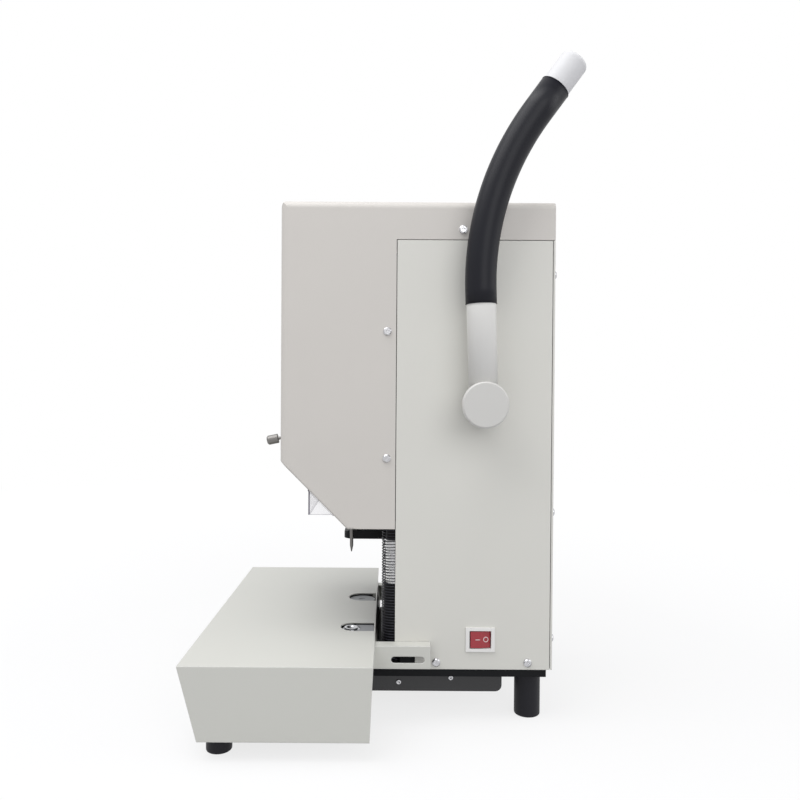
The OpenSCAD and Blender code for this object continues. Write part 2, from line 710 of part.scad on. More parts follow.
board_x = -frame_x + 8;
module circuit_board() color([0.10, 0.35, 0.18]) {
    difference() {
        block([board_x, col_front + 48, base_top + 80], [board_x + 1.6, col_rear - 36, base_top + 220]);
        for (y = [col_front + 54, col_rear - 42], z = [base_top + 86, base_top + 214])
            translate([board_x - 1, y, z]) rotate([0, 90, 0]) cylinder(r = 1.6, h = 4);
    }
    for (z = [base_top + 105, base_top + 140, base_top + 175])
        block([board_x + 1.6, col_front + 66, z], [board_x + 12, col_front + 82, z + 18]);
}
module board_standoffs() color(steel)
    for (y = [col_front + 54, col_rear - 42], z = [base_top + 86, base_top + 214])
        translate([-frame_x, y, z]) rotate([0, 90, 0]) cylinder(r = 3, h = board_x + frame_x);

module transformer() color([0.35, 0.30, 0.26]) {
    block([-35, col_front + 85, base_top], [35, col_front + 139, base_top + 10]);
    block([-26, col_front + 88, base_top + 10], [26, col_front + 136, base_top + 50]);
    translate([0, 0, base_top + 16]) linear_extrude(28) translate([0, col_front + 112])
        square([38, 62], center = true);
}

module toggle_bush() color(steel) translate([switch_lever.x, head_front, switch_lever.y])
    rotate([90, 0, 0]) difference() {
        union() {
            cylinder(r = 7, h = 2.5, $fn = 6);
            translate([0, 0, -4]) cylinder(r = 4, h = 7.2);
            translate([0, 0, -16]) linear_extrude(14.2) square([16, 13], center = true);
        }
        translate([0, 0, -8]) cylinder(r = 2.8, h = 20);
        translate([0, 0, 0.5]) cylinder(r1 = 2.8, r2 = 3.6, h = 4);
    }
toggle_tilt = 12;
toggle_r = 5.2;    // cap on the lever
module toggle_lever() color([0.75, 0.76, 0.78])
    translate([switch_lever.x, head_front - 2, switch_lever.y]) rotate([90 + toggle_tilt, 0, 0]) {
        sphere(r = 2.3);
        cylinder(r1 = 1.5, r2 = 2.2, h = 12);
        translate([0, 0, 6.2]) cylinder(r = toggle_r, h = 10.8);
        translate([0, 0, 17]) cylinder(r1 = toggle_r, r2 = toggle_r - 1.5, h = 1.5);
    }

// ---------------------------------------------------------------- carriage

module carriage_plate() color([0.45, 0.46, 0.48]) difference() {
    union() {
        block([-carriage_half, station_y - 1, plate_z], [carriage_half, wall_y - 3, plate_top]);
        block([-neck_w / 2, post_y, plate_z], [neck_w / 2, rack_line - 4, plate_top]);
        block([-78, station_y - 16, plate_z], [carriage_half - 6, station_y, plate_top]);
        pair() translate([post_gap / 2, post_y, boss_bottom])
            cylinder(r = boss_r, h = plate_top + boss_rise - boss_bottom);
    }
    pair() translate([post_gap / 2, post_y, boss_bottom - 1]) {
        cylinder(r = boss_bore, h = bush_z - boss_bottom + 1);
        cylinder(r = bush_r + 0.02, h = 200);
    }
    translate([drill_x, station_y, plate_z - 1]) cylinder(r = chuck_r + 3, h = plate_t + 2);
    for (p = pin_places) translate([p.x, p.y, plate_z - 1]) cylinder(r = pin_r + fit, h = plate_t + 2);
    for (s = [-1, 1]) translate([s * rack_screw.x, rack_screw.y, plate_top - 13])
        cylinder(r = m4[2] + fit, h = 14);
}

module slide_bushes() color([0.72, 0.52, 0.28]) pair() translate([post_gap / 2, post_y, bush_z])
    tube(bush_r, post_r + fit, plate_top + boss_rise - bush_z);

function tooth_half(depth) = tooth_pitch / 4 - backlash / 2 - depth * tan(pressure);
rack_high = pivot_z + stroke + 2 * tooth_pitch;
module rack() color(steel) {
    first = -2;
    last = floor((rack_high - pivot_z) / tooth_pitch) - 1;
    add = tooth_module;
    ded = 1.25 * tooth_module;
    along_x(-rack_w / 2, rack_w / 2) union() {
        translate([rack_line - rack_depth, plate_top])
            square([rack_depth - ded, rack_high - plate_top]);
        for (k = [first : last]) translate([rack_line, pivot_z + (k + 0.5) * tooth_pitch])
            polygon([[-ded - 0.1, -tooth_half(-ded - 0.1)], [add, -tooth_half(add)],
                [add, tooth_half(add)], [-ded - 0.1, tooth_half(-ded - 0.1)]]);
    }
    // foot, screwed down to the carriage
    difference() {
        block([-neck_w / 2, rack_line - rack_depth - 14, plate_top],
            [neck_w / 2, rack_line - ded, plate_top + 8]);
        for (s = [-1, 1]) translate([s * rack_screw.x, rack_screw.y, plate_top - 1])
            cylinder(r = m4[2] + fit, h = 10);
    }
}
rack_screw = [16, rack_line - rack_depth - 6];
module rack_screws() color(steel) for (s = [-1, 1])
    translate([s * rack_screw.x, rack_screw.y, plate_top + 8]) pan_screw(m4, 20);

module motor_mount() color([0.45, 0.46, 0.48]) translate([drill_x, station_y, plate_top])
    difference() {
        cylinder(r = mount_r, h = mount_h);
        translate([0, 0, -1]) cylinder(r = mount_r - 8, h = mount_h - 3);
        cylinder(r = 8, h = mount_h + 1);
    }
motor_z = plate_top + mount_h;
module drill_motor() color([0.30, 0.31, 0.33]) translate([drill_x, station_y, motor_z]) {
    cylinder(r = motor_r, h = motor_h);
    translate([0, 0, motor_h]) cylinder(r = motor_r - 6, h = 8);
    for (a = [0 : 30 : 330]) rotate(a) translate([motor_r - 1, -1.5, 15]) cube([3, 3, motor_h - 30]);
}

module heater_insulator() color([0.88, 0.86, 0.78]) difference() {
    translate([punch_x - block_size / 2, station_y - block_front, plate_z - 9])
        cube([block_size, block_front + block_size / 2, 9]);
    translate([punch_x, station_y, plate_z - 10]) cylinder(r = 3.5, h = 12);
}
block_z = plate_z - 9 - block_h;
module heater_block() color([0.75, 0.66, 0.42]) difference() {
    translate([punch_x - block_size / 2, station_y - block_front, block_z])
        cube([block_size, block_front + block_size / 2, block_h]);
    translate([punch_x, station_y, block_z - 1]) cylinder(r = 3.5, h = block_h + 2);
    translate([punch_x + 8.5, station_y - 20, block_z + block_h / 2]) rotate([-90, 0, 0])
        cylinder(r = 3.1, h = 30);
}
module rivet_punch() color(steel) translate([punch_x, station_y, punch_tip]) {
    rotate_extrude() polygon([[0, 0], [0.5, 0], [1.9, 7], [1.9, block_z - punch_tip - 5],
        [5, block_z - punch_tip - 4], [5, block_z - punch_tip], [3.4, block_z - punch_tip],
        [3.4, block_z - punch_tip + block_h + 5], [0, block_z - punch_tip + block_h + 5]]);
}

module drill_chuck() color(steel) translate([drill_x, station_y, chuck_z]) difference() {
    union() {
        cylinder(r1 = chuck_r - 4, r2 = chuck_r, h = 8);
        translate([0, 0, 8]) cylinder(r = chuck_r, h = chuck_h - 8);
        cylinder(r = 6, h = motor_z - chuck_z - gap);
    }
    translate([0, 0, -1]) cylinder(r = bit_r + 0.02, h = 21);
}
module drill_bit() color(steel) translate([drill_x, station_y, bit_tip]) difference() {
    union() {
        cylinder(r1 = bit_r - 0.4, r2 = bit_r, h = 3);
        translate([0, 0, 3]) cylinder(r = bit_r, h = chuck_z + 19 - bit_tip - 3);
    }
    translate([0, 0, -1]) cylinder(r = bit_r - 0.9, h = chuck_z + 21 - bit_tip);
}

module press_plate() color(black) difference() {
    translate([0, 0, press_z]) linear_extrude(press_t) union() {
        translate([-68 + 12, station_y - 11]) square([103 - 24, post_y + 4 - station_y + 11]);
        translate([-68, station_y - 11 + 12]) square([103, post_y + 4 - station_y - 1]);
        for (x = [-56, 23]) translate([x, station_y + 1]) circle(12);
    }
    translate([drill_x, station_y, press_z - 1]) cylinder(r = bit_r + 1.5, h = press_t + 2);
    for (p = pin_places) translate([p.x, p.y, press_z + 2]) cylinder(r = pin_r, h = press_t);
    // thinned front edge
    along_x(-post_gap / 2, post_gap / 2) polygon([[station_y - 12, press_top - 3.5], [station_y - 4, press_top],
        [station_y - 4, press_top + 1], [station_y - 12, press_top + 1]]);
    // relief for the spring beside it
    translate([-post_gap / 2, post_y, press_z - 1]) cylinder(r = boss_r + 2, h = press_t + 2);
}
module press_pins() color(steel) for (p = pin_places) translate([p.x, p.y, press_z + 2]) {
    cylinder(r = pin_r, h = plate_top + gap + 4 - press_z - 2);
    translate([0, 0, plate_top + gap - press_z - 2]) cylinder(r = 6, h = 3);
}

// ---------------------------------------------------------------- lever and gear

hub_x = half_w + 9;
lever_x = hub_x + hub_w / 2;
tube_start = 14;

module in_lever() translate([lever_x, pivot_y, pivot_z]) rotate([tube_lean, 0, 0]) children();

// Piece of round tube along the lever's line between two distances from the hub's centre
module lever_run(outer, inner, from, to) {
    hair = 0.1;   // the bend is this much thinner where it runs into the straight pieces
    into = 3;
    tail = to - tube_straight - arc_length;
    translate([0, 0, from]) tube(outer, inner, tube_straight + into - from);
    translate([0, bend_r, tube_straight]) rotate([90, 0, 90]) rotate(180 - bend_angle)
        rotate_extrude(angle = bend_angle) translate([bend_r, 0]) difference() {
            circle(outer - hair);
            circle(inner + hair);
        }
    translate([0, bend_r, tube_straight]) rotate([-bend_angle, 0, 0])
        translate([0, -bend_r, -into]) tube(outer, inner, tail + into);
}

arc_length = bend_r * bend_angle * PI / 180;
lever_length = tube_straight + arc_length + tip_length;
grip_end = lever_length - cap_length;

hub_flange = 3.5;
module lever_hub() color(cream) difference() {
    translate([hub_x, pivot_y, pivot_z]) rotate([0, 90, 0]) union() {
        // narrower boss behind the flanged face
        cylinder(r = hub_r - hub_flange, h = hub_w - 4);
        translate([0, 0, hub_w - 8]) cylinder(r = hub_r, h = 6.5);
        translate([0, 0, hub_w - 1.5]) cylinder(r1 = hub_r, r2 = hub_r - 1.5, h = 1.5);
    }
    translate([hub_x - 1, pivot_y, pivot_z]) rotate([0, 90, 0]) cylinder(r = shaft_r + 0.02, h = hub_w - 5);
    in_lever() translate([0, 0, tube_start]) cylinder(r = tube_r + 0.02, h = 60);
}
module lever_tube() color(cream) in_lever() lever_run(tube_r, tube_r - tube_wall, tube_start, grip_end);
module lever_grip() color(black) in_lever()
    lever_run(tube_r + grip_wall, tube_r + 0.02, grip_start, grip_end);
module lever_end_cap() color([0.9, 0.9, 0.9]) in_lever()
    translate([0, bend_r, tube_straight]) rotate([-bend_angle, 0, 0]) translate([0, -bend_r, tip_length - cap_length])
        rotate_extrude() polygon(concat([[0, 0], [tube_r, 0]],
            [for (a = [0 : 15 : 90]) [tube_r - cap_edge + cap_edge * cos(a),
                cap_length - cap_edge + cap_edge * sin(a)]],
            [[0, cap_length]]));

module lever_shaft() color(steel) translate([-frame_x - frame_t - 1, pivot_y, pivot_z])
    rotate([0, 90, 0]) cylinder(r = shaft_r, h = hub_x + hub_w - 6 + frame_x + frame_t + 1);

module shaft_bushes() color([0.72, 0.52, 0.28]) pair() translate([frame_x, pivot_y, pivot_z])
    rotate([0, 90, 0]) {
        tube(shaft_r + 4, shaft_r + fit, frame_t);
        translate([0, 0, -2]) tube(shaft_r + 8, shaft_r + fit, 2);
    }

function involute(a) = tan(a) - a * PI / 180;
function flank(rho) = 90 / gear_teeth - backlash / 4 / pitch_r * 180 / PI
    + (involute(pressure) - involute(acos(pitch_r * cos(pressure) / rho))) * 180 / PI;
module lever_gear() color(steel) {
    base_r = pitch_r * cos(pressure);
    root_r = pitch_r - 1.25 * tooth_module;
    tip_r = pitch_r + tooth_module;
    steps = 5;
    up = [for (i = [0 : steps]) base_r + 0.001 + (tip_r - base_r - 0.001) * i / steps];
    down = [for (i = [steps : -1 : 0]) base_r + 0.001 + (tip_r - base_r - 0.001) * i / steps];
    translate([-gear_w / 2, pivot_y, pivot_z]) difference() {
        union() {
            along_x(0, gear_w) polygon([for (t = [0 : gear_teeth - 1]) let (c = 180 + t * 360 / gear_teeth)
                each concat([root_r * [cos(c - flank(up[0])), sin(c - flank(up[0]))]],
                    [for (rho = up) rho * [cos(c - flank(rho)), sin(c - flank(rho))]],
                    [for (rho = down) rho * [cos(c + flank(rho)), sin(c + flank(rho))]],
                    [root_r * [cos(c + flank(up[0])), sin(c + flank(up[0]))]])]);
            translate([-8, 0, 0]) rotate([0, 90, 0]) cylinder(r = shaft_r + 8, h = gear_w + 16);
        }
        translate([-10, 0, 0]) rotate([0, 90, 0]) cylinder(r = shaft_r + 0.02, h = gear_w + 30);
        for (a = [0 : 60 : 300]) rotate([a, 0, 0]) translate([-1, 31, 0]) rotate([0, 90, 0])
            cylinder(r = 7, h = gear_w + 2);
    }
}

base_plate();
bottom_pan();
front_feet();
rear_feet();
foot_screws();
side_frame_right();
side_frame_left();
frame_screws();
top_plate();
throat_wall();
guide_posts();
post_sleeves();
return_spring_right();
return_spring_left();
shaft_bushes();
table_cover();
table_screws();
die_insulator();
die_block();
rivet_die();
die_clamp();
pad_holder();
cutting_pad();
head_cover();
head_cover_screws();
right_side_cover();
left_side_cover();
side_cover_screws();
rear_cover();
rear_cover_screws();
clear_guard();
switch_housing();
power_rocker();
power_inlet();
circuit_board();
board_standoffs();
transformer();
toggle_bush();
toggle_lever();
carriage_plate();
slide_bushes();
rack();
rack_screws();
motor_mount();
drill_motor();
heater_insulator();
heater_block();
rivet_punch();
drill_chuck();
drill_bit();
press_plate();
press_pins();
press_springs();
lever_hub();
lever_tube();
lever_grip();
lever_end_cap();
lever_shaft();
lever_gear();
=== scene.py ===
"""Looks of the document riveting machine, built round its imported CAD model."""
import math

import bmesh
import bpy
from mathutils import Matrix, Vector


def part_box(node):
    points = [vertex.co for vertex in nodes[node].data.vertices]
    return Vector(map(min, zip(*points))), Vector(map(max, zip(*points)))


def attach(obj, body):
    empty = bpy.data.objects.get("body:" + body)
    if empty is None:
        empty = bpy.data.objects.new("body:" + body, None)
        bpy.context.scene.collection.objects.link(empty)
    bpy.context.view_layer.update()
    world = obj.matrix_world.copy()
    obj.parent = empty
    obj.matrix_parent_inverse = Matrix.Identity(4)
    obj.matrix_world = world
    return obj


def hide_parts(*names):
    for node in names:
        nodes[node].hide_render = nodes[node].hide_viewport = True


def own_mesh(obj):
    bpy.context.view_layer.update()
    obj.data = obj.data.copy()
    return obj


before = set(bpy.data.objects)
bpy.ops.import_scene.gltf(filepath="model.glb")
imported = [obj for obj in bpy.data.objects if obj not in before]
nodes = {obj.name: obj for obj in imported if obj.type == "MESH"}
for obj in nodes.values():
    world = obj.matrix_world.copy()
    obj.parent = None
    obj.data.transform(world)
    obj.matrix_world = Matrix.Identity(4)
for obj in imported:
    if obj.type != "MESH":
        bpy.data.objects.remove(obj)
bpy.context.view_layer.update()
scene = bpy.context.scene

MM = 0.001
FULL_TURN = 2 * math.pi
QUARTER_TURN = math.pi / 2
UP = Vector((0, 0, 1))


# ---------------------------------------------------------------- finishes

WHITE = (1, 1, 1, 1)
EDGE_SAMPLES = 4        # rays that round a crisp edge
SOFT_SAMPLES = 8        # rays that round a wide, soft bend


def colour(red, green, blue):
    """An 8-bit screen colour as the linear colour that a shader takes."""
    def linear(level):
        level /= 255
        return level / 12.92 if level <= 0.04045 else ((level + 0.055) / 1.055) ** 2.4
    return (linear(red), linear(green), linear(blue), 1)


def tinted(tint, factor):
    """A colour made darker or lighter by a factor."""
    return tuple(min(1.0, channel * factor) for channel in tint[:3]) + (1,)


class Shade:
    """A socket that takes part in plain arithmetic; each operation adds a Math node."""

    def __init__(self, tree, socket):
        self.tree, self.socket = tree, socket

    def _math(self, operation, first, second):
        made = self.tree.nodes.new("ShaderNodeMath")
        made.operation = operation
        for place, value in enumerate((first, second)):
            if isinstance(value, Shade):
                self.tree.links.new(value.socket, made.inputs[place])
            else:
                made.inputs[place].default_value = value
        return Shade(self.tree, made.outputs[0])

    def __add__(self, other):
        return self._math("ADD", self, other)

    def __sub__(self, other):
        return self._math("SUBTRACT", self, other)

    def __mul__(self, other):
        return self._math("MULTIPLY", self, other)

    def __rsub__(self, other):
        return self._math("SUBTRACT", other, self)

    __radd__ = __add__
    __rmul__ = __mul__


class Graph:
    """A node tree whose nodes all come from one method."""

    def __init__(self, tree):
        self.tree = tree

    def node(self, kind, settings=None, inputs=None, out=0):
        """Adds a node: first its settings, then the values or links of its sockets."""
        made = self.tree.nodes.new("ShaderNode" + kind)
        for key, value in (settings or {}).items():
            setattr(made, key, value)
        for key, value in (inputs or {}).items():
            self.feed(made.inputs[key], value)
        return Shade(self.tree, made.outputs[out])

    def feed(self, socket, value):
        """Links a shade to a socket, or writes a plain value into it."""
        if isinstance(value, Shade):
            self.tree.links.new(value.socket, socket)
        else:
            socket.default_value = value

    def most(self, first, second):
        """The larger of two shades."""
        return self.node("Math", {"operation": "MAXIMUM"}, {0: first, 1: second})

    def fade(self, value, none, full):
        """0 where a shade has the value `none` and 1 where it has the value `full`."""
        return self.node("MapRange", inputs={"Value": value, "From Min": none, "From Max": full})

    def seen(self):
        """1 for what the camera sees, whether straight, mirrored or through clear plastic."""
        straight, mirrored, through = (
            self.node("LightPath", out=ray)
            for ray in ("Is Camera Ray", "Is Glossy Ray", "Is Transmission Ray"))
        return self.most(self.most(straight, mirrored), through)


class Finish(Graph):
    """A material under construction: its main shader and the object's own coordinates."""

    def __init__(self, name):
        self.material = bpy.data.materials.new(name)
        self.material.use_nodes = True
        super().__init__(self.material.node_tree)
        self.shader = self.tree.nodes["Principled BSDF"]
        self.place = self.node("TexCoord", out="Object")

    def set(self, **values):
        """Feeds the main shader's sockets, named with _ for a space, and returns the material."""
        for key, value in values.items():
            self.feed(self.shader.inputs[key.replace("_", " ")], value)
        return self.material

    def axis(self, letter):
        """The object's own X, Y or Z."""
        return self.node("SeparateXYZ", inputs={"Vector": self.place}, out=letter)

    def noise(self, scale, detail, stretch=None):
        """Cloudy change from place to place, drawn out where a stretch is given."""
        place = self.place
        if stretch:
            place = self.node("Mapping", inputs={"Vector": place, "Scale": stretch})
        return self.node("TexNoise", inputs={"Vector": place, "Scale": scale, "Detail": detail})

    def blend(self, factor, first, second):
        """A colour that goes from the first to the second with a factor."""
        return self.node("Mix", {"data_type": "RGBA"}, {0: factor, 6: first, 7: second}, out=2)

    def rounded(self, radius, samples=EDGE_SAMPLES):
        """The normal, turned at the edges as if they were rounded."""
        return self.node("Bevel", {"samples": samples}, {"Radius": radius})

    def rim(self, radius):
        """1 along the edges, where the rounded normal leaves the face's own, and 0 elsewhere."""
        own = self.node("NewGeometry", out="Normal")
        agreed = self.node(
            "VectorMath", {"operation": "DOT_PRODUCT"}, {0: self.rounded(radius), 1: own}, out="Value")
        return self.fade(agreed, 0.99, 0.86)

    def relief(self, height, depth, strength, normal):
        """The normal over a fine relief that starts from another normal."""
        return self.node("Bump", inputs={
            "Height": height, "Distance": depth, "Strength": strength, "Normal": normal}, out="Normal")


def paint(name, tint, roughness, peel=0.04 * MM, edge=0.8 * MM, change=0.02, shine=0.5, highlit=0.0):
    """Sprayed paint: a fine orange peel, a slow drift of tone and softened edges, with a painted highlight
    along the edges, as strong as the last argument.
    """
    made = Finish(name)
    drift = made.noise(7, 3)
    fine = made.noise(1400, 2)
    sprayed = made.blend(drift, tinted(tint, 1 - change), tinted(tint, 1 + change))
    # painted highlight: the edges are lightened to near white
    if highlit:
        sprayed = made.blend(made.rim(edge) * highlit, sprayed, PAINTED_HIGHLIGHT)
    return made.set(
        Base_Color=sprayed,
        Roughness=drift * 0.12 + (roughness - 0.06),
        Specular_IOR_Level=shine,
        Normal=made.relief(fine, peel, 0.5, made.rounded(edge)))


def metal(name, tint, roughness, grain=(1, 1, 40)):
    """Turned or drawn metal, with tool marks across the way that it was worked."""
    made = Finish(name)
    marks = made.noise(90, 4, grain)
    stain = made.noise(35, 3)
    return made.set(
        Base_Color=made.blend(stain, tinted(tint, 0.88), tinted(tint, 1.06)),
        Metallic=1.0,
        Roughness=marks * 0.16 + stain * 0.08 + (roughness - 0.12),
        Normal=made.relief(marks, 0.02 * MM, 0.4, made.rounded(0.3 * MM)))


def plastic(name, tint, roughness, texture=0.03 * MM, scale=2200, coat=0.0, shine=0.5):
    """Moulded plastic or rubber with a faint surface grain."""
    made = Finish(name)
    grain = made.noise(scale, 2)
    drift = made.noise(24, 3)
    return made.set(
        Base_Color=made.blend(drift, tinted(tint, 0.93), tinted(tint, 1.07)),
        Roughness=grain * 0.08 + drift * 0.08 + (roughness - 0.08),
        Normal=made.relief(grain, texture, 0.5, made.rounded(0.4 * MM)),
        Coat_Weight=coat,
        Specular_IOR_Level=shine)


def clear_sheet():
    """Clear bent plastic, faintly violet; its bends in front and its cut lower edge are painted dark as
    painted shade.
    """
    made = Finish("clear bent plastic")
    low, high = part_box("clear_guard")
    haze = made.noise(60, 3)
    facing = made.node("LayerWeight", inputs={"Blend": 0.35}, out="Facing")
    sideways = made.node("Math", {"operation": "ABSOLUTE"}, {0: made.axis("X")})
    # painted shade: the bends in front and the cut lower edge are painted dark
    bends = (made.fade(sideways, high.x - 8.2 * MM, high.x - 7.2 * MM)
             * made.fade(made.axis("Y"), low.y + 2.2 * MM, low.y + 1.4 * MM))
    cut_edge_shade = made.fade(made.axis("Z"), low.z + 0.6 * MM, low.z + 0.2 * MM)
    dark = made.most(bends, cut_edge_shade * 0.55)
    return made.set(
        Base_Color=made.blend(dark, colour(226, 222, 234), colour(92, 86, 104)),
        Roughness=haze * 0.05 + 0.04,
        Alpha=made.most(facing * 0.16 + haze * 0.04 + 0.1, dark * 0.92))


def post_steel():
    """Polished guide post, painted brown-black high up, where the carriage rests, as painted shade under the
    head.
    """
    made = Finish("polished post steel")
    # painted shade: 1 high up, where the post is painted dark under the head
    painted_shade = made.fade(made.axis("Z"), *PAINTED_SHADE_LINE)
    smear = made.noise(60, 3)
    return made.set(
        Base_Color=made.blend(painted_shade, colour(250, 250, 251), colour(40, 39, 40)),
        Metallic=1.0,
        Roughness=painted_shade * 0.15 + smear * 0.08 + 0.24)


def head_paint():
    """Warm grey paint over the head's sheet, whose bends along the sloping nose are wide and soft."""
    made = Finish("warm grey paint")
    low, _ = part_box("head_cover")
    behind_slope = made.axis("Y") + made.axis("Z") - (low.y + low.z + NOSE)
    bend = made.fade(behind_slope, 11 * MM, 7 * MM)
    drift = made.noise(7, 3)
    fine = made.noise(1400, 2)
    crisp, soft = made.rounded(0.7 * MM), made.rounded(3.4 * MM, SOFT_SAMPLES)
    edges = made.node("Mix", {"data_type": "VECTOR"}, {0: bend, 4: crisp, 5: soft}, out=1)
    return made.set(
        Base_Color=made.blend(drift, colour(201, 197, 192), colour(209, 205, 200)),
        Roughness=drift * 0.12 + 0.38,
        Normal=made.relief(fine, 0.04 * MM, 0.5, edges))


NOSE = 72 * MM                      # the slope cuts this much off the head's front and its foot
PAINTED_SHADE_LINE = (0.1895, 0.1915)      # heights between which a post turns from bright steel to painted shade
PAINTED_HIGHLIGHT = colour(250, 250, 247)      # painted highlight, pale as light along an edge
EVEN_GRAIN = (1, 1, 1)

finishes = {
    "cream": paint("cream powder paint", colour(214, 213, 207), 0.46, highlit=0.4),
    "lever": paint("cream gloss paint", colour(203, 202, 199), 0.34, edge=0.6 * MM),
    "tube": paint("cream tube paint", colour(230, 229, 226), 0.3, edge=0.6 * MM),
    "table": paint("worn cream table paint", colour(203, 203, 197), 0.4, edge=1.2 * MM, highlit=0.7),
    "head": head_paint(),
    "black": paint(
        "black structure paint", colour(20, 21, 23), 0.45, peel=0.08 * MM, change=0.1, shine=0.12),
    "pan": paint("black pan enamel", colour(44, 44, 46), 0.3, change=0.06),
    "foot": plastic("black rubber of the feet", colour(24, 24, 30), 0.5, shine=0.25),
    "grip": plastic(
        "black sleeve rubber", colour(18, 19, 27), 0.4, texture=0.06 * MM, scale=700, shine=0.22),
    "dark": plastic("black moulded plastic", colour(18, 18, 22), 0.45, shine=0.2),
    "white": plastic("white moulded plastic", colour(232, 231, 229), 0.3),
    "cap": plastic("pale cap plastic", colour(213, 213, 215), 0.5),
    "red": plastic("red rocker plastic", colour(158, 34, 46), 0.26, coat=0.3),
    "mark": plastic("pale moulded marks", colour(226, 206, 206), 0.4),
    "pad": plastic("grey cutting plastic", colour(150, 152, 155), 0.5),
    "insulator": plastic("cream insulating board", colour(226, 220, 200), 0.7),
    "board": plastic("green board lacquer", colour(28, 98, 52), 0.35, coat=0.4),
    "core": paint("brown core lacquer", colour(92, 78, 66), 0.5, change=0.1),
    "motor": paint("dark motor enamel", colour(72, 74, 78), 0.42, change=0.06),
    "steel": metal("ground steel", colour(196, 197, 200), 0.3),
    "machined": metal("machined steel", colour(150, 152, 156), 0.4, (40, 1, 1)),
    "bright": metal("bright plated steel", colour(196, 196, 199), 0.24, EVEN_GRAIN),
    "spring": metal("drawn spring wire", colour(62, 62, 68), 0.34, EVEN_GRAIN),
    "punch": metal("heat-stained steel", colour(112, 110, 108), 0.34, EVEN_GRAIN),
    "post": post_steel(),
    "bronze": metal("bearing bronze", colour(196, 158, 96), 0.36),
    "satin": metal("satin plated brass", colour(128, 126, 124), 0.42, EVEN_GRAIN),
    "brass": metal("machined brass", colour(206, 184, 122), 0.34, (30, 1, 1)),
    "clear": clear_sheet(),
}

NODE_FINISH = {
    "cream": "right_side_cover left_side_cover rear_cover",
    "table": "table_cover",
    "lever": "lever_hub lever_tube",
    "head": "head_cover",
    "pan": "bottom_pan",
    "post": "guide_posts",
    "punch": "rivet_punch drill_bit",
    "black": "base_plate side_frame_right side_frame_left top_plate throat_wall press_plate",
    "foot": "front_feet rear_feet",
    "grip": "lever_grip",
    "dark": "post_sleeves pad_holder power_inlet",
    "white": "switch_housing",
    "cap": "lever_end_cap",
    "red": "power_rocker",
    "pad": "cutting_pad",
    "insulator": "die_insulator heater_insulator",
    "board": "circuit_board",
    "core": "transformer",
    "motor": "drill_motor",
    "steel": "foot_screws frame_screws rivet_die rack rack_screws drill_chuck press_pins "
             "lever_shaft lever_gear board_standoffs",
    "machined": "carriage_plate motor_mount die_clamp",
    "bright": "table_screws head_cover_screws side_cover_screws rear_cover_screws toggle_bush",
    "satin": "toggle_lever",
    "spring": "return_spring_right return_spring_left press_springs",
    "bronze": "shaft_bushes slide_bushes",
    "brass": "die_block heater_block",
    "clear": "clear_guard",
}


def dress(made, finish):
    """Gives an object one finish and no other."""
    made.data.materials.clear()
    made.data.materials.append(finishes[finish])


for finish, names in NODE_FINISH.items():
    for name in names.split():
        dress(nodes[name], finish)


# ---------------------------------------------------------------- pieces

UPRIGHT = Matrix.Rotation(QUARTER_TURN, 4, "X")     # stands a flat circle on its edge
FACING_X = Matrix.Rotation(QUARTER_TURN, 4, "Y")    # turns Z to point along X


def shift(x, y, z):
    """A plain move, as a matrix."""
    return Matrix.Translation((x, y, z))


def piece(name, shape, finish, body, slot, *stands_for):
    """Makes a bmesh into an object that rides on a body and may stand for CAD nodes."""
    bmesh.ops.recalc_face_normals(shape, faces=shape.faces)
    mesh = bpy.data.meshes.new(name)
    shape.to_mesh(mesh)
    shape.free()
    made = bpy.data.objects.new(name, mesh)
    scene.collection.objects.link(made)
    for face in mesh.polygons:
        face.use_smooth = True
    dress(made, finish)
    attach(made, body)
    if stands_for:
        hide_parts(*stands_for)
    return made


def circle(shape, radius, sides, place, filled=False):
    """Adds a ring of vertices, flat in the XY plane of its place."""
    return bmesh.ops.create_circle(
        shape, cap_ends=filled, segments=sides, radius=radius, matrix=place)["verts"]


def edges_among(shape, verts):
    """The edges whose two ends are both among some vertices."""
    return [edge for edge in shape.edges if all(vert in verts for vert in edge.verts)]


def hoop(seat, radius, wire, sides, steps):
    """A ring of round wire about the Z axis of its seat."""
    shape = bmesh.new()
    section = circle(shape, wire, sides, seat @ shift(radius, 0, 0) @ UPRIGHT)
    bmesh.ops.spin(
        shape, geom=section + edges_among(shape, section), cent=seat.translation,
        axis=seat.to_3x3() @ UP, angle=FULL_TURN, steps=steps, use_merge=True)
    return shape


def coil(x, y, radius, wire, low, high, turns, steps=28, sides=10):
    """An upright coil spring between two heights, with closed flat turns at both ends."""
    closed = 1.5
    lead = 2 * wire
    pitch = (high - low - lead - 2 * closed * lead) / (turns - 2 * closed)
    shape = bmesh.new()
    section = circle(shape, wire, sides, shift(x + radius, y, low + wire) @ UPRIGHT, filled=True)
    ring = list({edge for vert in section for edge in vert.link_edges} | set(section)
                | {face for vert in section for face in vert.link_faces})
    for count, rise in ((closed, lead), (turns - 2 * closed, pitch), (closed, lead)):
        number = round(count * steps)
        ring = bmesh.ops.spin(
            shape, geom=ring, cent=(x, y, 0), axis=UP, angle=FULL_TURN * count, steps=number,
            dvec=(0, 0, rise * count / number), use_duplicate=False)["geom_last"]
    return shape


# Return springs round the two guide posts, which the carriage presses together
SEAT_GAP = 0.1 * MM                 # keeps a spring's top clear of the carriage

near_low, near_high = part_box("return_spring_right")
post_x, post_y = (near_low.x + near_high.x) / 2, (near_low.y + near_high.y) / 2
low, high = near_low.z, near_high.z - SEAT_GAP
for name, x in (("right", post_x), ("left", -post_x)):
    shape = coil(x, post_y, 13.7 * MM, 0.55 * MM, low, high, 52)
    made = piece("wound_spring_" + name, shape, "spring", "stand", "spring_steel", "return_spring_" + name)
    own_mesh(made)

